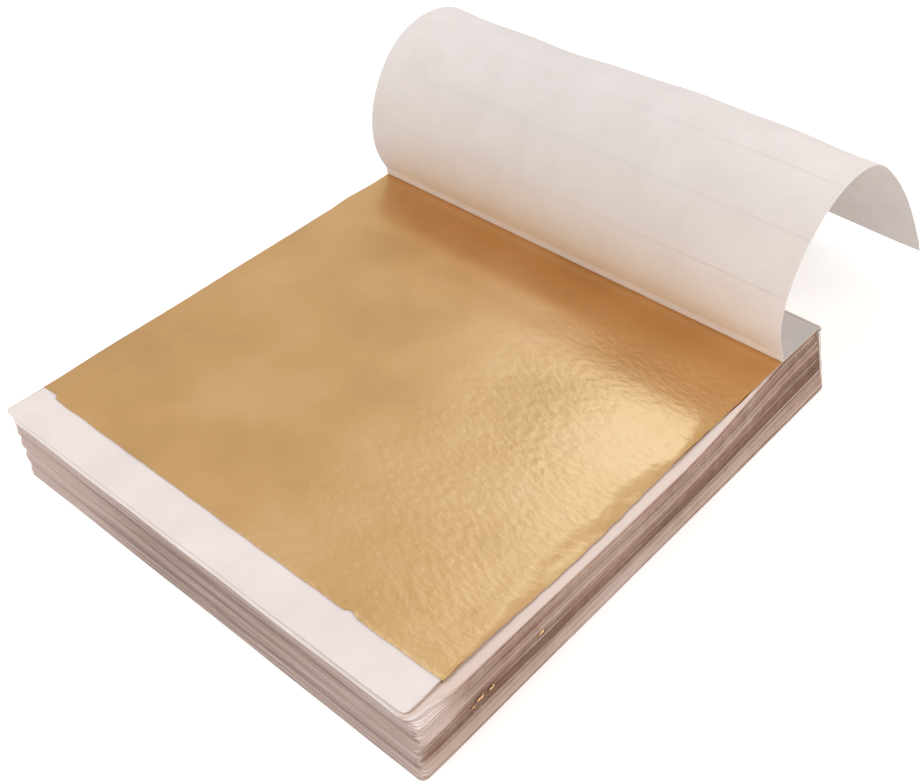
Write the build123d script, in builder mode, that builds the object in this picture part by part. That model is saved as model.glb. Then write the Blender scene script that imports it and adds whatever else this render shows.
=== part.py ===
from build123d import *
import os
from math import cos, radians, sin

# Gold leaf booklet: a pad of interleaf papers glued along one edge, with one leaf of
# imitation gold on every paper but the first. The first paper is lifted off its leaf and
# rolled back over the glued edge, and the leaf below it lies open.
# Millimetres and degrees. The origin is the centre of the pad's bottom face. +Z points up,
# X runs along the glued edge, which is at +Y, and the papers' bare front strips are at -Y.

# Gold leaves, each on the paper below it
leaf_width = 81.0
leaf_depth = 85.0
leaf_thickness = 0.02

# Papers, and the bare strips that a leaf leaves on them
page_count = 101
paper_thickness = 0.085
side_margin = 0.5
front_margin = 6.3
back_margin = 0.2

# Glue along the back edge
glue_thickness = 0.6

# Papers that turn one by one, the lifted one first, and the closed ones below in bundles
turning_pages = 5
block_bundles = 8

# The lifted paper: flat as far as the lift line, then a crease, a tight roll and a loose end
bound_margin = 10.25
crease_angle = 51.5
tight_length = 46.4
tight_angle = 168.0
tight_strips = 5
loose_angle = 22.5
loose_strips = 2
strip_gap = 0.02  # between the ends of neighbouring strips

# How far the papers of a pad lie out of true: sideways, and past the front edge
top_pair_side = -2.3  # the lifted page and the one below it, against the rest
side_play = 0.6
front_play = 0.8
page_sway = 0.12  # the same within one bundle
sway_angle = 137.5  # step of a sine from one sheet to the next

# Sideways place of the other turning pages and of each bundle from the top, in shares of
# side_play, and front edge of each turning page and each bundle, in shares of front_play
turning_side_shares = (0.4, 0.2, 0.3)
bundle_side_shares = (-0.9, -0.4, 0.0, -0.6, 0.1, -0.2, 0.4, 0.6)
turning_front_shares = (0.0, 0.0, 0.6, 0.35, 0.5)
bundle_front_shares = (0.1, 0.5, 0.25, 0.6, 0.3, 0.75, 0.5, 1.0)

# Sideways place of the two leaves that lie with the top pair, in shares of side_margin
top_leaf_side_shares = (0.68, 0.8)

# Derived sizes
page_width = leaf_width + 2 * side_margin
page_depth = front_margin + leaf_depth + back_margin
page_pitch = paper_thickness + leaf_thickness
back_edge = page_depth / 2
front_edge = -page_depth / 2
leaf_middle = front_edge + front_margin + leaf_depth / 2
lift_line = back_edge - bound_margin
free_length = page_depth - bound_margin
top_pair = turning_pages - len(turning_side_shares)
block_pages = page_count - turning_pages
pages_per_bundle = block_pages // block_bundles
glue_middle = back_edge + glue_thickness / 2


def page_bottom(page):
    """Height of a page's underside. Pages are counted from the top."""
    return (page_count - page) * page_pitch


def bundle_of(page):
    """Number of the bundle that holds a page of the closed block."""
    return (page - turning_pages - 1) // pages_per_bundle


def page_side(page):
    """Sideways place of a page's middle line."""
    if page <= top_pair:
        return top_pair_side
    if page <= turning_pages:
        return side_play * turning_side_shares[page - top_pair - 1]
    sway = page_sway * sin(radians(sway_angle * page))
    return side_play * bundle_side_shares[bundle_of(page)] + sway


def page_reach(page):
    """How far a page passes the pad's front edge."""
    if page <= turning_pages:
        return front_play * turning_front_shares[page - 1]
    sway = page_sway * cos(radians(sway_angle * page))
    return front_play * bundle_front_shares[bundle_of(page)] + sway


def leaf_side(leaf):
    """Sideways place of a leaf's middle line. The top pair keeps its leaves under it."""
    if leaf <= top_pair:
        return top_pair_side + side_margin * top_leaf_side_shares[leaf - 1]
    return page_side(leaf + 1) + side_margin * sin(radians(sway_angle * leaf))


def page_middle(page):
    """Middle of a page, which ends at the glue and may pass the pad's front edge."""
    return page_side(page), (back_edge + front_edge - page_reach(page)) / 2


def save(built, name):
    """Labels a finished piece and writes it under its name."""
    built.part.label = name
    export_step(built.part, f"parts/{name}.step")


os.makedirs("parts", exist_ok=True)

# Closed block: bundles of pages, and the leaves on them
for bundle in range(block_bundles):
    first = turning_pages + 1 + bundle * pages_per_bundle
    last = first + pages_per_bundle - 1
    with BuildPart() as bundle_pages:
        for page in range(first, last + 1):
            with BuildSketch(Plane.XY.offset(page_bottom(page))):
                with Locations(page_middle(page)):
                    Rectangle(page_width, page_depth + page_reach(page))
            extrude(amount=paper_thickness)
    save(bundle_pages, f"pages_{first:02d}_to_{last:02d}")
    last_leaf = min(last, page_count - 1)
    with BuildPart() as bundle_leaves:
        for leaf in range(first, last_leaf + 1):
            with BuildSketch(Plane.XY.offset(page_bottom(leaf) - leaf_thickness)):
                with Locations((leaf_side(leaf), leaf_middle)):
                    Rectangle(leaf_width, leaf_depth)
            extrude(amount=leaf_thickness)
    save(bundle_leaves, f"leaves_{first:02d}_to_{last_leaf:02d}")

# Single leaves, the open one first
for leaf in range(1, turning_pages + 1):
    with BuildPart() as single_leaf:
        with BuildSketch(Plane.XY.offset(page_bottom(leaf) - leaf_thickness)):
            with Locations((leaf_side(leaf), leaf_middle)):
                Rectangle(leaf_width, leaf_depth)
        extrude(amount=leaf_thickness)
    save(single_leaf, f"leaf_{leaf:02d}")

# Single pages below the lifted one
for page in range(2, turning_pages + 1):
    with BuildPart() as single_page:
        with BuildSketch(Plane.XY.offset(page_bottom(page))):
            with Locations(page_middle(page)):
                Rectangle(page_width, page_depth + page_reach(page))
        extrude(amount=paper_thickness)
    save(single_page, f"page_{page:02d}")

# Glue film: one stretch behind the closed block, and one behind each page that turns. The
# top stretch also holds the lifted page.
block_side = side_play * sum(bundle_side_shares) / block_bundles
with BuildPart() as spine_glue:
    with BuildSketch(Plane.XY.offset(page_bottom(page_count))):
        with Locations((block_side, glue_middle)):
            Rectangle(page_width, glue_thickness)
    extrude(amount=page_bottom(turning_pages))
save(spine_glue, "spine_glue")
for page in range(2, turning_pages + 1):
    above = page_bottom(page - 1) if page > 2 else page_bottom(1) + paper_thickness
    with BuildPart() as page_glue:
        with BuildSketch(Plane.XY.offset(page_bottom(page))):
            with Locations((page_side(page), glue_middle)):
                Rectangle(page_width, glue_thickness)
        extrude(amount=above - page_bottom(page))
    save(page_glue, f"glue_{page:02d}")

# Lifted page: its bound margin, flat on the leaf
with BuildPart() as margin:
    with BuildSketch(Plane.XY.offset(page_bottom(1))):
        with Locations((page_side(1), (lift_line + back_edge) / 2)):
            Rectangle(page_width, bound_margin)
    extrude(amount=paper_thickness)
save(margin, "page_01_bound_margin")

# Lifted page: strips hinged end to end along the roll, whose inner face is the page's top.
# A heading is 0 where the paper runs to the front, 90 straight up and 180 to the back.
strip_lengths = [tight_length / tight_strips] * tight_strips
strip_lengths += [(free_length - tight_length) / loose_strips] * loose_strips
strip_turns = [tight_angle / tight_strips] * tight_strips
strip_turns += [loose_angle / loose_strips] * loose_strips
start = (lift_line, page_bottom(1) + paper_thickness)
angle = crease_angle
for strip, (length, turn) in enumerate(zip(strip_lengths, strip_turns), 1):
    heading = radians(angle + turn / 2)
    along = (-cos(heading), sin(heading))
    outward = (-sin(heading), -cos(heading))
    solid_length = length - strip_gap
    far = (start[0] + along[0] * solid_length, start[1] + along[1] * solid_length)
    depth = (outward[0] * paper_thickness, outward[1] * paper_thickness)
    with BuildPart() as page_strip:
        with BuildSketch(Plane.YZ.offset(page_side(1) - page_width / 2)):
            with BuildLine():
                Polyline(
                    start,
                    far,
                    (far[0] + depth[0], far[1] + depth[1]),
                    (start[0] + depth[0], start[1] + depth[1]),
                    close=True,
                )
            make_face()
        extrude(amount=page_width)
    save(page_strip, f"page_01_strip_{strip:02d}")
    print(f"strip {strip:02d} starts at y {start[0]:.3f} z {start[1]:.3f} heading {angle + turn / 2:.3f}")
    start = (start[0] + along[0] * length, start[1] + along[1] * length)
    angle += turn
print(f"free edge at y {start[0]:.3f} z {start[1]:.3f}")
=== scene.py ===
from math import cos, pi, radians, sin

import bmesh
import bpy
import numpy as np
from mathutils import Matrix, Quaternion, Vector


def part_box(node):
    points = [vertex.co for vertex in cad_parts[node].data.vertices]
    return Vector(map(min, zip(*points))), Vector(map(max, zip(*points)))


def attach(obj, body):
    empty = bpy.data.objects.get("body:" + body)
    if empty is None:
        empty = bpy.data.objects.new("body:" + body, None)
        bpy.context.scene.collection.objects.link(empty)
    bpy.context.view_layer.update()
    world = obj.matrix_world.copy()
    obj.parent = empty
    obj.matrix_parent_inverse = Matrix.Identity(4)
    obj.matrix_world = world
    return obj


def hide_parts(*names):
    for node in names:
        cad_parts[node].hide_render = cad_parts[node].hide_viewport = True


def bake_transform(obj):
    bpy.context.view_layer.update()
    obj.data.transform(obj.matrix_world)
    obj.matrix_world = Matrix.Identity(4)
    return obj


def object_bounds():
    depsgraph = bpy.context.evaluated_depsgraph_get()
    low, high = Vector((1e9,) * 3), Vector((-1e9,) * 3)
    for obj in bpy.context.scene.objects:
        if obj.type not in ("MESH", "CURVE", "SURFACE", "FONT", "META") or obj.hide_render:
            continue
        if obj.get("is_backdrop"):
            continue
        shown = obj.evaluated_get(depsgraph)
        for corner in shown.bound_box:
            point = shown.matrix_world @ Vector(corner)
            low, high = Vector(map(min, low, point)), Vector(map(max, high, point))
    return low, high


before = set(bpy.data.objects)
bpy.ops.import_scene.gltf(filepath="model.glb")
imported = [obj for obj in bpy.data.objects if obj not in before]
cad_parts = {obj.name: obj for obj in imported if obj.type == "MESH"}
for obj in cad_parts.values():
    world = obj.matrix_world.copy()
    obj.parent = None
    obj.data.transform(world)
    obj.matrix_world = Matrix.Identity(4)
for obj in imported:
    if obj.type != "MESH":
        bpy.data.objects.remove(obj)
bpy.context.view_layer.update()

# A booklet of gold leaf: 101 soft papers glued along the back edge with a leaf of imitation
# gold on every paper but the first. The first paper is rolled back off its leaf.
# Metres, in the frame of the solids: +Z up, the glued edge along X at +Y.
MM = 0.001

# ---- Sizes, as in the solids -------------------------------------------------------------
PAGE_COUNT = 101
PAPER, LEAF = 0.085 * MM, 0.02 * MM
PITCH = PAPER + LEAF
LEAF_WIDTH, LEAF_DEPTH = 81.0 * MM, 85.0 * MM
SIDE_MARGIN, FRONT_MARGIN, BACK_MARGIN = 0.5 * MM, 6.3 * MM, 0.2 * MM
GLUE = 0.6 * MM
PAGE_WIDTH = LEAF_WIDTH + 2 * SIDE_MARGIN
PAGE_DEPTH = FRONT_MARGIN + LEAF_DEPTH + BACK_MARGIN
BACK_EDGE, FRONT_EDGE = PAGE_DEPTH / 2, -PAGE_DEPTH / 2
LEAF_MIDDLE = FRONT_EDGE + FRONT_MARGIN + LEAF_DEPTH / 2

# The lifted page: flat as far as the lift line, then a crease, a tight roll and a loose end
BOUND_MARGIN = 10.25 * MM
LIFT_LINE = BACK_EDGE - BOUND_MARGIN
FREE_LENGTH = PAGE_DEPTH - BOUND_MARGIN
TIGHT_LENGTH = 46.4 * MM
LOOSE_LENGTH = FREE_LENGTH - TIGHT_LENGTH
CREASE, TIGHT_TURN, LOOSE_TURN = 51.5, 168.0, 22.5  # degrees
TIGHT_STRIPS, LOOSE_STRIPS = 5, 2
STRIPS = [TIGHT_LENGTH / TIGHT_STRIPS] * TIGHT_STRIPS
STRIPS += [LOOSE_LENGTH / LOOSE_STRIPS] * LOOSE_STRIPS

# How far the papers lie out of true, sideways and past the front edge: the top pair, then the
# other pages that turn, by shares of the play, and the closed ones by shares for each bundle
PAIR_SIDE = -2.3 * MM
TURNING, PER_BUNDLE = 5, 12
SIDE_PLAY, FRONT_PLAY = 0.6 * MM, 0.8 * MM
SWAY, SWAY_STEP = 0.12 * MM, 137.5  # the same within one bundle; degrees from page to page
SIDE_SHARES = (0.4, 0.2, 0.3)
BUNDLE_SIDE = (-0.9, -0.4, 0.0, -0.6, 0.1, -0.2, 0.4, 0.6)
FRONT_SHARES = (0.0, 0.0, 0.6, 0.35, 0.5)
BUNDLE_FRONT = (0.1, 0.5, 0.25, 0.6, 0.3, 0.75, 0.5, 1.0)
TOP_LEAF_SIDE = (0.68, 0.8)

# ---- Looser than the solids --------------------------------------------------------------
# The upper pages lie fanned: a step to the left for each, and a wider one at the near corner
LAST_FANNED = 9
FAN_STEP, CORNER_FAN_STEP = 0.13 * MM, 0.18 * MM
# Papers lie tighter at the open edges, where no leaf holds them apart, and the room that this
# leaves opens as gaps below some papers, so that the edges show as bundles.
TIGHTER = 0.07
GAPS_BELOW = {97: 0.5, 92: 1.4, 83: 0.8, 74: 1.5, 66: 0.6, 57: 1.2, 50: 0.6, 41: 1.4, 33: 0.7,
              26: 1.3, 18: 0.9, 12: 1.5, 6: 1.2}
# The open leaf comes flush with its page's left edge
OPEN_LEFT = PAIR_SIDE - PAGE_WIDTH / 2 + 0.1 * MM
OPEN_WIDTH = 81.85 * MM
FOIL = 0.006 * MM  # a leaf's thickness, as thin as still shows cleanly
AIR = 0.06 * MM  # under the open leaf
LAID = 0.75  # direction in which the open leaf was laid, radians
# Where the open leaf breaks down towards its right edge: x at each y, in mm
BREAK_LINE = ((-39.5, 39), (-28, 37.9), (-25.7, 36.8), (-22.5, 36.7), (-17.8, 35.3),
              (-12, 35.4), (-7.4, 36.6), (-1, 35.6), (5.4, 36.6), (7.6, 38.2), (8.3, 39.2),
              (15, 36.9), (20.4, 36.2))

# How dark the cut edges are painted at heights in mm, in front and at the sides: bundles that
# # were cut and handled together share a tone, and the bands also hold painted shade, dark lines
# # where gaps and ledges between bundles shadow the edges and a painted contact shadow at the
# # bottom. In front, the tone also changes along x in mm.
FRONT_TONES = ((0.0, 1.15), (0.3, 0.6), (0.6, 0.5), (1.3, 0.5), (2.1, 0.9), (3.8, 0.55),
               (4.9, 0.75), (6.6, 0.5), (7.7, 0.8), (8.6, 0.8), (9.2, 0.35), (9.9, 0.45),
               (10.3, 0.2))
SIDE_TONES = ((0.0, 0.9), (0.3, 0.45), (0.9, 0.35), (2.6, 0.5), (3.3, 0.9), (4.6, 1.0),
              (6.0, 1.0), (7.2, 0.55), (8.1, 0.75), (8.6, 1.0), (9.6, 0.35), (10.0, 0.95),
              (10.3, 0.2))
ALONG_FRONT = ((-41, 0.55), (-26, 0.85), (-8, 1.7), (20, 1.3), (41, 1.05))
TONE_SPREAD = 0.22
# The second page's side edges are painted dark brown, a painted shadow along the edge of the
# open leaf above
SECOND_PAGE_SHADOW_TONE = 1.3
FRONT_TONE_CAP = 0.9  # the darkest in front, but for the lowest pages, which carry a painted contact shadow along the bottom
# The lowest pages' front edges are painted dark as a contact shadow where the pad meets the
# table
CONTACT_SHADOW_PAGES, CONTACT_SHADOW_TONE = 3, 1.0

# A point past this share of a paper's half size is on its cut edge
ON_EDGE = 0.9995

# Flecks of foil on the right side: y, z, length and height in mm
FLECKS = ((-33.4, 5.2, 0.9, 0.45), (-35.6, 5.3, 1.1, 0.4), (-36.9, 5.0, 0.5, 0.3),
          (-23.9, 6.7, 0.7, 0.35))


# ---- Curves ------------------------------------------------------------------------------
def smooth(t):
    """0 to 1 with level ends."""
    t = np.clip(t, 0, 1)
    return t * t * (3 - 2 * t)


def rise(place, start, end):
    """0 up to the start and 1 from the end on, both in mm."""
    return smooth((place / MM - start) / (end - start))


def rim(share, start):
    """0 up to a share of a sheet's half size, and 1 at its edge."""
    return smooth((share - start) / (1 - start))


def hump(place, middle, width):
    """1 at the middle, fading over the width, both in mm."""
    return np.exp(-((place / MM - middle) / width) ** 2)


def between(points, place):
    """The value at a place, from (place, value) pairs."""
    places, values = zip(*points)
    return np.interp(place, places, values)


def ripple(x, y, size, seed, count=7):
    """Soft irregular waves between about -1 and 1, of one size in metres."""
    made = np.random.default_rng(seed)
    total = 0
    for _ in range(count):
        turn, phase = made.uniform(0, 2 * pi, 2)
        k = 2 * pi / (size * made.uniform(0.7, 1.5))
        total = total + np.sin(k * (x * cos(turn) + y * sin(turn)) + phase)
    return total / (0.5 * count) ** 0.5 * 0.6


# ---- Places of the papers and leaves -----------------------------------------------------
def page_bottom(page):
    """Height of a page's underside in the solids; pages count from the top."""
    return (PAGE_COUNT - page) * PITCH


def through_block(shares, page):
    """A share for one closed page, run smoothly through the bundles' shares."""
    middles = [TURNING + (k + 0.5) * PER_BUNDLE for k in range(len(shares))]
    return float(np.interp(page, middles, shares))


def page_side(page):
    """Sideways place of a page's middle line."""
    if page <= 2:
        return PAIR_SIDE
    if page <= TURNING:
        return SIDE_PLAY * SIDE_SHARES[page - 3] - FAN_STEP * (LAST_FANNED + 1 - page)
    return SIDE_PLAY * through_block(BUNDLE_SIDE, page) + SWAY * sin(radians(SWAY_STEP * page))


def page_reach(page):
    """How far a page passes the pad's front edge."""
    if page <= TURNING:
        return FRONT_PLAY * FRONT_SHARES[page - 1]
    return FRONT_PLAY * through_block(BUNDLE_FRONT, page) + SWAY * cos(radians(SWAY_STEP * page))


def skew(height, y):
    """Sideways lean of the pad towards its glued edge, where the papers lie with the top
    pair instead of under the middle."""
    return PAIR_SIDE * height / (PAGE_COUNT * PITCH) * rise(y, 6, 46)


def leaf_side(leaf):
    """Sideways place of a leaf's middle line."""
    if leaf <= 2:
        return PAIR_SIDE + SIDE_MARGIN * TOP_LEAF_SIDE[leaf - 1]
    return page_side(leaf + 1) + SIDE_MARGIN * sin(radians(SWAY_STEP * leaf))


def edge_weight(x, y):
    """0 inside the pad, 1 at its open edges."""
    sides = rise(np.abs(x), 34, 41) * (1 - 0.7 * rise(y, 24, 44))
    return np.maximum(rise(y, -36, -45), sides)


def level_height(page, x, y):
    """Underside of one paper over these points, from the steps of all papers below it."""
    weight = edge_weight(x, y)[None, :]
    steps = np.full((PAGE_COUNT, len(x)), 1.0) - TIGHTER * weight
    opened = np.zeros_like(steps)
    for gap_page, size in GAPS_BELOW.items():
        wave = 1 + 0.45 * ripple(x, y, 55 * MM, 40 + gap_page, 4)
        opened[PAGE_COUNT - gap_page] = size * np.clip(wave, 0.1, None)
    room = TIGHTER * PAGE_COUNT / opened.sum(0, keepdims=True)
    total = np.cumsum(steps + opened * room * weight, 0)
    heights = np.vstack([np.zeros((1, len(x))), total[:-1]])
    return (heights / total[-1] * PAGE_COUNT * PITCH)[PAGE_COUNT - page]


def top_lift(x, y):
    """How far the second page stands off the one below it: a low swell along its right side
    that falls away beyond the break line."""
    along = rise(y, 26, 16) * (0.5 + 0.5 * rise(y, -44, -36))
    swell = 0.34 * MM * rise(x, 8, 34)
    past = x - between(BREAK_LINE, y / MM) * MM
    fall = 0.11 * 0.5 * (past + np.sqrt(past ** 2 + (0.2 * MM) ** 2))
    edge = 0.10 * MM * rise(x, 33, 38) * rise(y, 40, 32)
    return np.maximum(swell - np.minimum(fall, 0.26 * MM), 0) * along + edge


# ---- Nodes and meshes --------------------------------------------------------------------
def colour(code):
    """An sRGB hex value as linear RGBA."""
    parts = [int(code[i:i + 2], 16) / 255 for i in (1, 3, 5)]
    return [p / 12.92 if p <= 0.04045 else ((p + 0.055) / 1.055) ** 2.4 for p in parts] + [1]


def per(size):
    """Texture scale whose pattern repeats about once per this many millimetres."""
    return 1000.0 / size


def add(tree, kind, settings=None, **links):
    """Adds a node. Settings set its properties or, where it has no such property, its inputs;
    "stops" sets a colour ramp's (position, hex colour) pairs. Links join its inputs to
    outputs of other nodes, given as (node, output)."""
    node = tree.nodes.new(kind)
    for key, value in (settings or {}).items():
        if key == "stops":
            elements = node.color_ramp.elements
            while len(elements) < len(value):
                elements.new(0.5)
            for element, (position, code) in zip(elements, value):
                element.position, element.color = position, colour(code)
        elif not isinstance(key, int) and hasattr(node, key):
            setattr(node, key, value)
        else:
            node.inputs[key].default_value = value
    for key, (source, output) in links.items():
        name = int(key[1:]) if key[0] == "_" else key.replace("_", " ")
        tree.links.new(source.outputs[output], node.inputs[name])
    return node


def new_material(name):
    """An empty node material, its tree, and a node with its object coordinates."""
    material = bpy.data.materials.new(name)
    material.use_nodes = True
    tree = material.node_tree
    tree.nodes.clear()
    return material, tree, add(tree, "ShaderNodeTexCoord")


def sheet_template(across, along):
    """A unit sheet, one thick, from a grid and its extrusion."""
    bm = bmesh.new()
    bmesh.ops.create_grid(bm, x_segments=across, y_segments=along, size=1.0)
    shell = bmesh.ops.extrude_face_region(bm, geom=bm.faces[:])
    raised = [v for v in shell["geom"] if isinstance(v, bmesh.types.BMVert)]
    bmesh.ops.translate(bm, verts=raised, vec=(0, 0, 1))
    bmesh.ops.recalc_face_normals(bm, faces=bm.faces)
    mesh = bpy.data.meshes.new("sheet")
    bm.to_mesh(mesh)
    bm.free()
    return mesh


def points_of(mesh):
    """The mesh's points as three arrays, x, y and z."""
    flat = np.empty(len(mesh.vertices) * 3, np.float32)
    mesh.vertices.foreach_get("co", flat)
    return flat.reshape(-1, 3).astype(float).T


def joined(name, template, shapes):
    """One mesh of a copy of the template for each array of points."""
    bm = bmesh.new()
    for points in shapes:
        copy = template.copy()
        copy.vertices.foreach_set("co", points.astype(np.float32).ravel())
        bm.from_mesh(copy)
        bpy.data.meshes.remove(copy)
    mesh = bpy.data.meshes.new(name)
    bm.to_mesh(mesh)
    bm.free()
    return mesh


def set_values(mesh, name, values):
    """Stores one number for each point."""
    layer = mesh.attributes.new(name, "FLOAT", "POINT")
    layer.data.foreach_set("value", np.concatenate(values).astype(np.float32))


def finish_object(name, mesh, material, smoothed=True):
    """Shows a mesh as an object under the name."""
    piece = bpy.data.objects.new(name, mesh)
    bpy.context.collection.objects.link(piece)
    mesh.materials.append(material)
    if smoothed:
        mesh.shade_smooth()
        mesh.set_sharp_from_angle(angle=radians(45))
    return piece


# ---- Materials ---------------------------------------------------------------------------
def paper_material(name, light, shade, glow):
    """Interleaf paper, an uncoated soft tissue: matt, a little cloudy where its fibres lie
    thicker, with a fine tooth. Its cut edges are painted darker, as painted shade for the light
    that sinks in between the sheets: pinkish grey in front (edge_shade), and brown at the sides,
    where the leaves reach the edge and leave a dusting of gold, deepened by painted shade of the
    side faces (gilt_dust)."""
    material, tree, place = new_material(name)
    # cloudy formation of the sheet, about 7 mm across
    cloud = add(tree, "ShaderNodeTexNoise", {"Scale": per(7), "Detail": 3.0, "Roughness": 0.55},
                Vector=(place, "Object"))
    # fibre clumps, drawn at 0.5 mm because single fibres are too fine to show
    fibre = add(tree, "ShaderNodeTexNoise", {"Scale": per(0.5), "Detail": 2.0, "Roughness": 0.6},
                Vector=(place, "Object"))
    both = add(tree, "ShaderNodeMath", {"operation": "MULTIPLY_ADD", 1: 0.25}, _0=(fibre, "Fac"),
               _2=(cloud, "Fac"))
    tint = add(tree, "ShaderNodeValToRGB", {"stops": [(0.35, shade), (0.85, light)]},
               Fac=(both, 0))
    # edges in front, painted darker as shade between the sheets; the darkest stop is a painted
    # contact shadow along the bottom
    front = add(tree, "ShaderNodeAttribute", {"attribute_name": "edge_shade"})
    cut = add(tree, "ShaderNodeValToRGB", {"stops": [(0.3, "#DCCBC4"), (0.75, "#C2ADA5"),
              (0.9, "#9C8880"), (1.0, "#5E544E")]}, Fac=(front, "Fac"))
    any_cut = add(tree, "ShaderNodeMath", {"operation": "MULTIPLY", 1: 5.0, "use_clamp": True},
                  _0=(front, "Fac"))
    greyed = add(tree, "ShaderNodeMix", {"data_type": "RGBA"}, _0=(any_cut, 0),
                 _6=(tint, "Color"), _7=(cut, "Color"))
    # a dusting of gold at the sides together with painted shade of the side faces, broken up
    # every 2 mm along the edge
    dust_and_shade = add(tree, "ShaderNodeAttribute", {"attribute_name": "gilt_dust"})
    broken = add(tree, "ShaderNodeTexNoise", {"Scale": per(2), "Detail": 3.0},
                 Vector=(place, "Object"))
    patches = add(tree, "ShaderNodeMapRange", {1: 0.3, 2: 0.7, 3: 0.8, 4: 1.1},
                  _0=(broken, "Fac"))
    amount = add(tree, "ShaderNodeMath", {"operation": "MULTIPLY"}, _0=(dust_and_shade, "Fac"),
                 _1=(patches, 0))
    dusted_and_shaded = add(tree, "ShaderNodeValToRGB", {"stops": [(0.2, "#E2CFC4"), (0.6, "#B79A8B"),
                 (1.0, "#8A6A58")]}, Fac=(amount, 0))
    any_dust_or_shade = add(tree, "ShaderNodeMath", {"operation": "MULTIPLY", 1: 5.0, "use_clamp": True},
                   _0=(dust_and_shade, "Fac"))
    edges_dusted_and_shaded = add(tree, "ShaderNodeMix", {"data_type": "RGBA"}, _0=(any_dust_or_shade, 0),
                  _6=(greyed, 2), _7=(dusted_and_shaded, "Color"))
    # tooth of the surface, 8 microns high
    tooth = add(tree, "ShaderNodeBump", {"Strength": 0.35, "Distance": 0.008 * MM},
                Height=(fibre, "Fac"))
    shader = add(tree, "ShaderNodeBsdfPrincipled",
                 {"Roughness": 0.85, "Specular IOR Level": 0.3, "Subsurface Weight": glow,
                  "Subsurface Radius": (0.9 * MM, 0.7 * MM, 0.6 * MM), "Subsurface Scale": 1.0},
                 Base_Color=(edges_dusted_and_shaded, 2), Normal=(tooth, "Normal"))
    add(tree, "ShaderNodeOutputMaterial", Surface=(shader, "BSDF"))
    return material


def leaf_material(name, crinkle):
    """Imitation gold leaf, brass beaten to a foil: a satin metal, hazy where it lies flat on
    the paper's tooth, with fine crinkles where air is caught under it (attribute crinkled)."""
    material, tree, place = new_material(name)
    # crinkles 1.5 mm apart, drawn out sideways as the foil was laid
    drawn = add(tree, "ShaderNodeMapping", {"Scale": (1.0, 1.8, 1.0), "Rotation": (0, 0, LAID)},
                Vector=(place, "Object"))
    fine = add(tree, "ShaderNodeTexNoise", {"Scale": per(1.5), "Detail": 3.0, "Roughness": 0.5},
               Vector=(drawn, 0))
    where = add(tree, "ShaderNodeAttribute", {"attribute_name": "crinkled"})
    height = add(tree, "ShaderNodeMath", {"operation": "MULTIPLY"}, _0=(fine, "Fac"),
                 _1=(where, "Fac"))
    creases = add(tree, "ShaderNodeBump", {"Strength": crinkle, "Distance": 0.16 * MM},
                  Height=(height, 0))
    # haze, in soft patches of about 14 mm
    haze = add(tree, "ShaderNodeTexNoise", {"Scale": per(14), "Detail": 3.0, "Roughness": 0.45},
               Vector=(place, "Object"))
    rough = add(tree, "ShaderNodeMapRange", {1: 0.3, 2: 0.7, 3: 0.285, 4: 0.32},
                _0=(haze, "Fac"))
    tint = add(tree, "ShaderNodeValToRGB", {"stops": [(0.32, "#D7A86D"), (0.5, "#DFB073"),
               (0.68, "#E4B67D")]}, Fac=(haze, "Fac"))
    shader = add(tree, "ShaderNodeBsdfPrincipled", {"Metallic": 1.0, "Coat Weight": 0.3,
                 "Coat Roughness": 0.3}, Base_Color=(tint, "Color"), Roughness=(rough, 0),
                 Normal=(creases, "Normal"))
    add(tree, "ShaderNodeOutputMaterial", Surface=(shader, "BSDF"))
    return material


def glue_material(name):
    """Padding glue, a brushed vinyl film that stays flexible: milky, half gloss, with the
    brush's faint strokes along the spine and the page edges showing through as ridges."""
    material, tree, place = new_material(name)
    # strokes 0.7 mm apart, drawn out along the spine
    strokes = add(tree, "ShaderNodeMapping", {"Scale": (0.12, 1.0, 1.0)},
                  Vector=(place, "Object"))
    brush = add(tree, "ShaderNodeTexNoise", {"Scale": per(0.7), "Detail": 3.0, "Roughness": 0.6},
                Vector=(strokes, 0))
    tint = add(tree, "ShaderNodeValToRGB", {"stops": [(0.3, "#CFC5BA"), (0.7, "#E9E2DA")]},
               Fac=(brush, "Fac"))
    ridges = add(tree, "ShaderNodeBump", {"Strength": 0.5, "Distance": 0.04 * MM},
                 Height=(brush, "Fac"))
    shader = add(tree, "ShaderNodeBsdfPrincipled",
                 {"Roughness": 0.42, "IOR": 1.47, "Subsurface Weight": 0.15,
                  "Subsurface Radius": (0.8 * MM, 0.6 * MM, 0.5 * MM), "Subsurface Scale": 1.0},
                 Base_Color=(tint, "Color"), Normal=(ridges, "Normal"))
    add(tree, "ShaderNodeOutputMaterial", Surface=(shader, "BSDF"))
    return material


roll_paper = paper_material("interleaf tissue, rolled", "#F0E8E4", "#E9DFDA", 0.4)
page_paper = paper_material("interleaf tissue, flat", "#F0E8E6", "#E8DEDB", 0.0)
open_leaf = leaf_material("imitation gold leaf, open", 0.5)
shut_leaf = leaf_material("imitation gold leaf, between pages", 0.25)
spine_film = glue_material("vinyl padding glue")


# ---- Flat pages and closed leaves --------------------------------------------------------
def rounded(u, v, half_width, half_depth, radius):
    """Pulls the corners of a rectangle's points in to a radius."""
    du = np.clip((np.abs(u) - (half_width - radius)) / radius, 0, 1)
    dv = np.clip((np.abs(v) - (half_depth - radius)) / radius, 0, 1)
    pull_u = du * (1 - np.sqrt(1 - dv * dv / 2)) * radius
    pull_v = dv * (1 - np.sqrt(1 - du * du / 2)) * radius
    return u - np.sign(u) * pull_u, v - np.sign(v) * pull_v


def tone(tones, page, seed):
    """Tone of one page's cut edge."""
    made = np.random.default_rng(seed + page)
    return between(tones, page_bottom(page) / MM) + made.uniform(-TONE_SPREAD, TONE_SPREAD)


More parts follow.
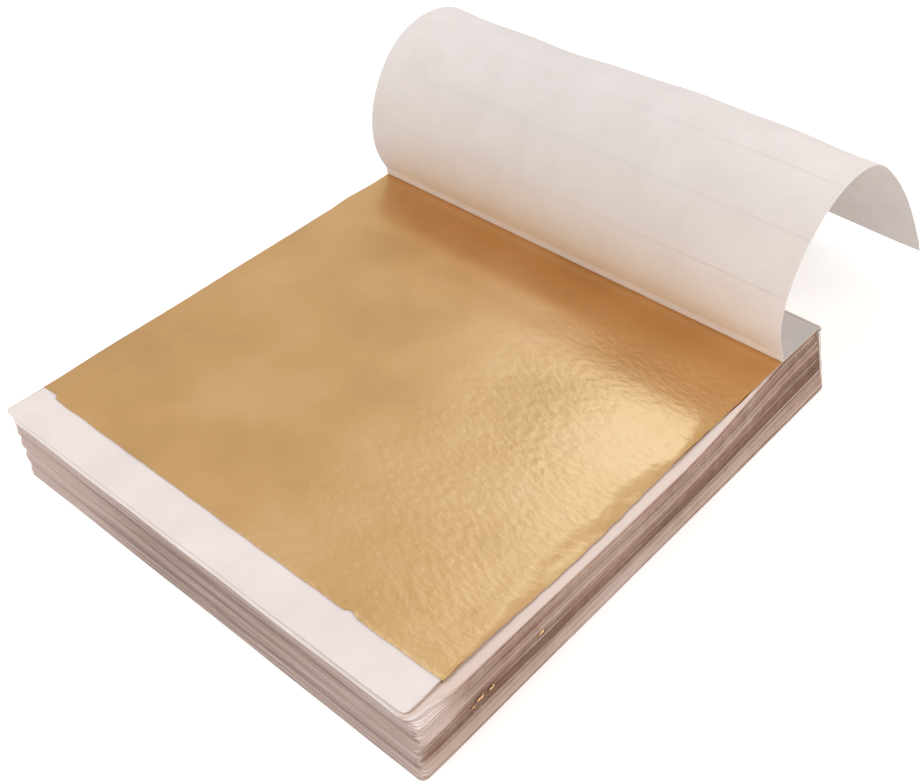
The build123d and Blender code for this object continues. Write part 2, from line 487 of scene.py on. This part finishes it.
def page_points(template, page):
    """A paper's points, from the unit sheet's, and for each point the dusting of gold and
    painted shade at its sides, and the painted shade of its cut edges in front."""
    across, along, top = points_of(template)
    # the grid is denser towards the edges
    u, v = np.sin(across * pi / 2), np.sin(along * pi / 2)
    front = FRONT_EDGE - page_reach(page)
    half_width, half_depth = PAGE_WIDTH / 2, (BACK_EDGE - front) / 2
    worn = 1.6 if 3 <= page <= 8 else 1
    radius = (0.8 + 0.4 * abs(sin(page * 1.7))) * MM * worn
    x, y = rounded(u * half_width, v * half_depth, half_width, half_depth, radius)
    # the corners at the glued edge stay sharp
    y = np.where(v > 0, v * half_depth, y) + (BACK_EDGE + front) / 2
    ragged = 0.05 * MM * ripple(x, y, 16 * MM, page)
    x = x + page_side(page) + ragged * rim(np.abs(u), 0.9) * np.sign(u)
    y = y + ragged * rim(-v, 0.9)
    if page == 2:
        x = x + (0.35 * MM * hump(y, -13, 16) - 0.25 * MM) * rim(u, 0.9)
    else:
        x = x + skew(page_bottom(page), y)
    if 3 <= page <= LAST_FANNED:
        fanned = CORNER_FAN_STEP * (LAST_FANNED + 1 - page) * rise(y, -38.5, -44)
        x = x - fanned * rim(u, 0.9)
    z = level_height(page, x, y) + top * PAPER
    if page == 2:
        z = z + top_lift(x, y)
    at_side, at_front = np.abs(u) > ON_EDGE, v < -ON_EDGE
    # side edges: gold dusting with painted shade from the bands; the second page's is a painted
    # shadow under the open leaf's edge
    slow = 0.12 * ripple(y, y, 45 * MM, 300)
    side_tone = SECOND_PAGE_SHADOW_TONE if page == 2 else tone(SIDE_TONES, page, 500) + slow
    # less of the dusting and painted shade at the near corner on the upper half
    paler = 0.7 * rise(page_bottom(page), 4, 7) * rise(y, -36.5, -42.5)
    dust_and_shade = at_side * side_tone * (1 - paler)
    if page == 3:
        # some is rubbed onto the bare strip at the right
        rubbed = 0.13 + 0.06 * rise(y, -8, -38)
        dust_and_shade = np.maximum(dust_and_shade, rubbed * rise(x, 37, 38.2))
    shade = tone(FRONT_TONES, page, 900) * between(ALONG_FRONT, x / MM)
    # the lowest pages get a painted contact shadow along the bottom of the front
    in_contact_shadow = page > PAGE_COUNT - CONTACT_SHADOW_PAGES
    shade = CONTACT_SHADOW_TONE if in_contact_shadow else np.minimum(shade, FRONT_TONE_CAP)
    return np.column_stack([x, y, z]), dust_and_shade, at_front * shade


def leaf_points(template, leaf):
    """A closed leaf's points, on top of the paper below it."""
    across, along, top = points_of(template)
    u, v = np.sin(across * pi / 2), np.sin(along * pi / 2)
    x, y = u * LEAF_WIDTH / 2, v * LEAF_DEPTH / 2 + LEAF_MIDDLE
    torn = 0.18 * MM * ripple(x, y, 9 * MM, 200 + leaf)
    x = x + leaf_side(leaf) + (torn - 0.1 * MM) * rim(np.abs(u), 0.97) * np.sign(u)
    y = y + torn * rim(-v, 0.97)
    if leaf > 2:
        x = x + skew(page_bottom(leaf), y)
    z = level_height(leaf + 1, x, y) + PAPER + 0.003 * MM + top * FOIL
    return np.column_stack([x, y, z])


page_sheet = sheet_template(30, 34)
leaf_sheet = sheet_template(34, 44)


def show_pages(node, body, first, last):
    """The pages of one node."""
    made = [page_points(page_sheet, page) for page in range(first, last + 1)]
    mesh = joined(node, page_sheet, [points for points, _, _ in made])
    set_values(mesh, "gilt_dust", [dust_and_shade for _, dust_and_shade, _ in made])
    set_values(mesh, "edge_shade", [shade for _, _, shade in made])
    piece = finish_object("paper_" + node, mesh, page_paper)
    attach(piece, body)
    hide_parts(node)


def show_leaves(node, body, first, last):
    """The leaves of one node."""
    shapes = [leaf_points(leaf_sheet, leaf) for leaf in range(first, last + 1)]
    piece = finish_object("foil_" + node, joined(node, leaf_sheet, shapes), shut_leaf)
    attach(piece, body)
    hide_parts(node)


for node in sorted(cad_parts):
    if node.startswith(("pages_", "leaves_")):
        kind, first, _, last = node.split("_")
        show = show_pages if kind == "pages" else show_leaves
        show(node, "root", int(first), int(last))
for page in range(2, TURNING + 1):
    show_pages(f"page_{page:02d}", f"page_{page:02d}", page, page)
for leaf in range(2, TURNING + 1):
    body = "root" if leaf == TURNING else f"page_{leaf + 1:02d}"
    show_leaves(f"leaf_{leaf:02d}", body, leaf, leaf)


# ---- The open leaf -----------------------------------------------------------------------
def open_leaf_points(template):
    """The open leaf: as wide as its page, crinkled in waves of several sizes, flat under the
    bound margin, set back at its left front corner, with a small tear in front and a right
    edge that bows over the page's.
    Also returns how strongly each point is crinkled."""
    u, v, top = points_of(template)
    x, y = OPEN_LEFT + (u + 1) / 2 * OPEN_WIDTH, v * LEAF_DEPTH / 2 + LEAF_MIDDLE
    bow = 0.45 * MM * hump(y, -13, 14)
    x = x + rim(u, 0.94) * (bow + 0.05 * MM * ripple(y, y, 4 * MM, 7))
    x = x + rim(-u, 0.94) * 0.04 * MM * ripple(y, y, 6 * MM, 8)
    # in front: set back at the left end, and a small tear right of the middle
    set_back = 0.6 * MM * rise(x, -39.6, -39.85)
    tear = 0.45 * MM * rise(x, 22.2, 22.5) * rise(x, 24.4, 22.8)
    y = y + rim(-v, 0.94) * (set_back + tear + 0.05 * MM * ripple(x, x, 5 * MM, 9))
    # the surface: slow swells, drawn waves and crinkles, none under the bound margin
    flat = rise(y, LIFT_LINE / MM - 0.3, LIFT_LINE / MM - 2.3)
    satin = rise(x - 0.35 * y, -14, 20)
    along, across = x * cos(LAID) + y * sin(LAID), -x * sin(LAID) + y * cos(LAID)
    waves = 0.030 * MM * ripple(x, y, 26 * MM, 11) * (1 - 0.6 * satin)
    waves = waves + 0.010 * MM * ripple(along * 0.6, across, 8 * MM, 12)
    crinkle = ripple(along * 0.7, across * 1.2, 2.4 * MM, 13, 12)
    waves = waves + 0.007 * MM * crinkle * (0.15 + satin)
    # a soft fold beside the left edge, near the front
    waves = waves + 0.10 * MM * hump(x, -40.2, 0.9) * rise(y, -6, -20)
    # a ridge across the leaf in front of the lift line, highest at the left
    waves = waves + 0.22 * MM * hump(y, 25, 2.8) * rise(x, 16, 2)
    # the front edge stands up a little
    waves = waves + 0.07 * MM * np.clip((-v - 0.992) / 0.008, 0, 1) ** 2
    # the last of the foil bends down over the page's edge
    over = np.clip((u - 0.996) / 0.004, 0, 1) * flat
    z = 0.012 * MM + flat * (AIR + waves) - over * AIR + top * FOIL
    z = z + PAPER + level_height(2, x, y) + top_lift(x, y)
    return np.column_stack([x, y, z]), 0.12 + 0.88 * satin * flat


open_sheet = sheet_template(176, 184)
points, crinkled = open_leaf_points(open_sheet)
mesh = joined("open_leaf", open_sheet, [points])
set_values(mesh, "crinkled", [crinkled])
piece = finish_object("open_gold_leaf", mesh, open_leaf)
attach(piece, "leaf_01")
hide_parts("leaf_01")


# ---- Flecks of foil rubbed off on the right side -----------------------------------------
def fleck_points(template, y, z, length, height, seed):
    """A crumpled fleck of foil stuck to the cut edges of the pages within its reach."""
    u, v, top = points_of(template)
    along, up = u * length / 2, v * height / 2
    torn = 0.25 * ripple(u, v, 1.1, seed)
    closed = range(TURNING + 1, PAGE_COUNT + 1)
    nearest = [page for page in closed if abs(page_bottom(page) - z) < 0.6 * MM]
    face = PAGE_WIDTH / 2 + max(page_side(page) + skew(page_bottom(page), y)
                                for page in nearest)
    x = face + 0.03 * MM + 0.05 * MM * ripple(along, up, 0.3 * MM, seed + 1)
    return np.column_stack([x + top * 0.004 * MM, y + along * (1 + torn), z + up * (1 + torn)])


fleck_sheet = sheet_template(14, 8)
for k, sizes in enumerate(FLECKS):
    y, z, length, height = np.array(sizes) * MM
    shape = fleck_points(fleck_sheet, y, z, length, height, 60 + 2 * k)
    mesh = joined("fleck", fleck_sheet, [shape])
    piece = finish_object(f"foil_fleck_{k + 1:02d}", mesh, shut_leaf)
    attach(piece, "root")
    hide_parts("leaves_42_to_53")


# ---- The lifted page ---------------------------------------------------------------------
PATH_STEP = 0.05 * MM  # along the curl, when it is followed


def path_point(length):
    """(y, z, heading) on the lifted page's upper face, at a length past the lift line.
    Heading 0 runs to the front, 90 is straight up and 180 runs to the back."""
    y, z = LIFT_LINE, page_bottom(1) + PAPER
    if length <= 0:
        return y - length, z, 0.0
    angle = CREASE
    for whole, turn in ((TIGHT_LENGTH, TIGHT_TURN), (LOOSE_LENGTH, LOOSE_TURN)):
        run = min(length, whole)
        steps = max(2, int(run / PATH_STEP))
        for i in range(steps):
            heading = radians(angle + turn * (i + 0.5) * run / steps / whole)
            y -= cos(heading) * run / steps
            z += sin(heading) * run / steps
        angle += turn * run / whole
        length -= run
    return y, z, angle


def lifted_points(template, start, end):
    """One stretch of the lifted page between two lengths past the lift line."""
    u, v, top = points_of(template)
    # rows are denser towards the stretch's ends
    length = start + (1 - np.cos((v + 1) * pi / 2)) / 2 * (end - start)
    stops, where = np.unique(np.round(length, 9), return_inverse=True)
    path = np.array([path_point(stop) for stop in stops])[where]
    x = page_side(1) + u * PAGE_WIDTH / 2
    heading = np.radians(path[:, 2])
    out_y, out_z = -np.sin(heading), -np.cos(heading)
    # slow unevenness of the curl, growing to the free end
    waves = ripple(x, length, 55 * MM, 21) + 0.4 * ripple(x, length, 21 * MM, 22)
    uneven = 0.35 * MM * rise(length, 0, 40) * waves
    # the page stands up steeply at the fold, and keeps inside its strips' line after it, so
    # that it is clear of the leaf when it lies flat
    inside = 0.68 * MM * rise(length, 0, 1.7) * rise(length, 32, 17)
    off = uneven - inside + (1 - top) * PAPER
    return np.column_stack([x, path[:, 0] + out_y * off, path[:, 1] + out_z * off])


# Each stretch runs from the middle of one strip to the middle of the next; the first also
# # holds the bound margin. The last rides on its strip's body, and the others stay where drawn.
lifted_sheet = sheet_template(72, 24)
CREASE_REACH = 1.6 * MM
ends = np.concatenate([[0], np.cumsum(STRIPS)])
middles = (ends[:-1] + ends[1:]) / 2
stretches = [(-BOUND_MARGIN, middles[0], "page_02", "roll_01", -CREASE_REACH, CREASE_REACH)]
for k in range(len(STRIPS) - 1):
    start, end = middles[k], middles[k + 1]
    stretches.append((start, end, f"roll_{k + 1:02d}", f"roll_{k + 2:02d}", start, end))
stretches.append((middles[-1], FREE_LENGTH, f"roll_{len(STRIPS):02d}", None, 0, 0))
for k, (start, end, first, second, bend_start, bend_end) in enumerate(stretches):
    parts = [(start, end)] if k else [(start, 0.0), (0.0, end)]
    mesh = joined("lifted", lifted_sheet, [lifted_points(lifted_sheet, a, b) for a, b in parts])
    piece = finish_object(f"lifted_page_{k + 1:02d}", mesh, roll_paper)
    if second:
        a, b = path_point(bend_start), path_point(bend_end)
        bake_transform(piece)
    else:
        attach(piece, first)
    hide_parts("page_01_bound_margin" if k == 0 else f"page_01_strip_{k:02d}")


# ---- Padding glue ------------------------------------------------------------------------
def glue_points(template, middle, low, high):
    """A stretch of the glue film, brushed on a little unevenly. It leans with the pages, but
    for the top pair's, which keeps their place."""
    u, v, top = points_of(template)
    z = low + (v + 1) / 2 * (high - low)
    lean = skew(z, BACK_EDGE) if middle > PAIR_SIDE + MM else 0
    x = middle + u * PAGE_WIDTH / 2 + lean
    uneven = 0.06 * MM * ripple(x, z * 3, 7 * MM, 31)
    y = BACK_EDGE + (1 - top) * (GLUE - 0.07 * MM + uneven)
    return np.column_stack([x, y, z])


glue_sheet = sheet_template(60, 24)
for name in sorted(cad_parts):
    if "glue" not in name:
        continue
    low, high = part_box(name)
    shape = glue_points(glue_sheet, (low[0] + high[0]) / 2, low[2], high[2])
    piece = finish_object("brushed_" + name, joined(name, glue_sheet, [shape]), spine_film)
    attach(piece, "root" if name == "spine_glue" else "page_" + name[-2:])
    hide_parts(name)

# ---- Camera, fitted to the photograph ----------------------------------------------------
# Its width, height, focal length and the point that the lens faces, all in pixels
PHOTO_WIDTH, PHOTO_HEIGHT, FOCAL_LENGTH, FACED_X, FACED_Y = 921, 783, 1256.48, 468.73, 463.94
SENSOR = 36
CAMERA_TURN, CAMERA_TILT, CAMERA_ROLL = radians(43.74), radians(45.35), radians(-2.89)
CAMERA_PLACE, STEP_BACK = Vector((92.18, -88.99, 120.88)) * MM, 19.17 * MM
back = Vector((sin(CAMERA_TURN) * cos(CAMERA_TILT), -cos(CAMERA_TURN) * cos(CAMERA_TILT),
               sin(CAMERA_TILT)))
right = Vector((cos(CAMERA_TURN), sin(CAMERA_TURN), 0))
up = back.cross(right)
rolled_right = right * cos(CAMERA_ROLL) + up * sin(CAMERA_ROLL)
rolled_up = up * cos(CAMERA_ROLL) - right * sin(CAMERA_ROLL)
facing = Matrix((rolled_right, rolled_up, back)).transposed().to_4x4()
lens = bpy.data.cameras.new("camera")
camera = bpy.data.objects.new("camera", lens)
bpy.context.collection.objects.link(camera)
camera.matrix_world = Matrix.Translation(CAMERA_PLACE + back * STEP_BACK) @ facing
lens.sensor_width = SENSOR
lens.lens = FOCAL_LENGTH / PHOTO_WIDTH * SENSOR
lens.shift_x = (PHOTO_WIDTH / 2 - FACED_X) / PHOTO_WIDTH
lens.shift_y = (FACED_Y - PHOTO_HEIGHT / 2) / PHOTO_WIDTH
lens.clip_start, lens.clip_end = 0.01, 20
bpy.context.scene.camera = camera


# ---- Floor, background and light ---------------------------------------------------------
def ground_rays(tree):
    """1 on rays from the camera, off gloss and through glass, which show the white ground."""
    path = add(tree, "ShaderNodeLightPath")
    rays = add(tree, "ShaderNodeMath", {"operation": "MAXIMUM"}, _0=(path, "Is Camera Ray"),
               _1=(path, "Is Glossy Ray"))
    return add(tree, "ShaderNodeMath", {"operation": "MAXIMUM"}, _0=(rays, 0),
               _1=(path, "Is Transmission Ray"))


# Matt white paper, faintly clouded every 40 mm; it glows a little only where it is seen
FLOOR_REACH, FLOOR_DROP = 3.0, 0.05 * MM
material, tree, place = new_material("matt white paper sweep")
grain = add(tree, "ShaderNodeTexNoise", {"Scale": per(40), "Detail": 2.0},
            Vector=(place, "Object"))
tint = add(tree, "ShaderNodeValToRGB", {"stops": [(0.3, "#F6F6F6"), (0.7, "#FAFAFA")]},
           Fac=(grain, "Fac"))
matt = add(tree, "ShaderNodeBsdfDiffuse", Color=(tint, "Color"))
strength = add(tree, "ShaderNodeMath", {"operation": "MULTIPLY", 1: 0.42},
               _0=(ground_rays(tree), 0))
lift = add(tree, "ShaderNodeEmission", {"Color": (1, 1, 1, 1)}, Strength=(strength, 0))
total = add(tree, "ShaderNodeAddShader", _0=(matt, 0), _1=(lift, 0))
add(tree, "ShaderNodeOutputMaterial", Surface=(total, 0))
bm = bmesh.new()
bmesh.ops.create_grid(bm, x_segments=2, y_segments=2, size=FLOOR_REACH)
mesh = bpy.data.meshes.new("floor")
bm.to_mesh(mesh)
bm.free()
mesh.transform(Matrix.Translation((0, 0, -FLOOR_DROP)))
finish_object("floor", mesh, material, smoothed=False)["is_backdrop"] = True

world = bpy.data.worlds.new("studio")
bpy.context.scene.world = world
world.use_nodes = True
tree = world.node_tree
tree.nodes.clear()
room = add(tree, "ShaderNodeBackground", {"Color": colour("#F6F3F2"), "Strength": 0.42})
pale = add(tree, "ShaderNodeBackground", {"Color": (1, 1, 1, 1), "Strength": 0.74})
choice = add(tree, "ShaderNodeMixShader", Fac=(ground_rays(tree), 0), _1=(room, 0), _2=(pale, 0))
add(tree, "ShaderNodeOutputWorld", Surface=(choice, 0))


def softbox(name, place, aim, width, height, energy, tint, roll=0):
    """A soft rectangular lamp that looks from its place to a point, rolled by degrees."""
    lamp = bpy.data.lights.new(name, "AREA")
    lamp.shape, lamp.size, lamp.size_y = "RECTANGLE", width, height
    lamp.energy, lamp.color = energy, colour(tint)[:3]
    holder = bpy.data.objects.new(name, lamp)
    bpy.context.collection.objects.link(holder)
    holder.location = place
    holder.rotation_mode = "QUATERNION"
    facing = (Vector(aim) - Vector(place)).to_track_quat("-Z", "Y")
    holder.rotation_quaternion = facing @ Quaternion((0, 0, 1), radians(roll))


DAYLIGHT = "#A8CCFF"
softbox("key high at the front left", place=(-0.34, -0.44, 0.80), aim=(0, 0, 0),
        width=0.60, height=0.60, energy=4.7, tint="#FFFAF5")
softbox("window high at the back left", place=(-0.228, 0.45, 0.44), aim=(0.03, 0, 0.01),
        width=0.11, height=0.09, energy=0.13, tint=DAYLIGHT)
softbox("window's lower half", place=(-0.231, 0.33, 0.53), aim=(0.04, 0, 0.01),
        width=0.10, height=0.26, energy=0.15, tint=DAYLIGHT, roll=-25)
softbox("fill at the right", place=(0.75, 0.12, 0.45), aim=(0, 0, 0.01),
        width=0.40, height=0.40, energy=2.4, tint="#FFF8F2")
softbox("kicker low at the back right", place=(0.35, 0.45, 0.30), aim=(0, 0, 0.01),
        width=0.30, height=0.30, energy=0.9, tint="#FFF4EC")

# ---- View and sizes ----------------------------------------------------------------------
bpy.context.scene.view_settings.view_transform = "Standard"
low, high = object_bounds()
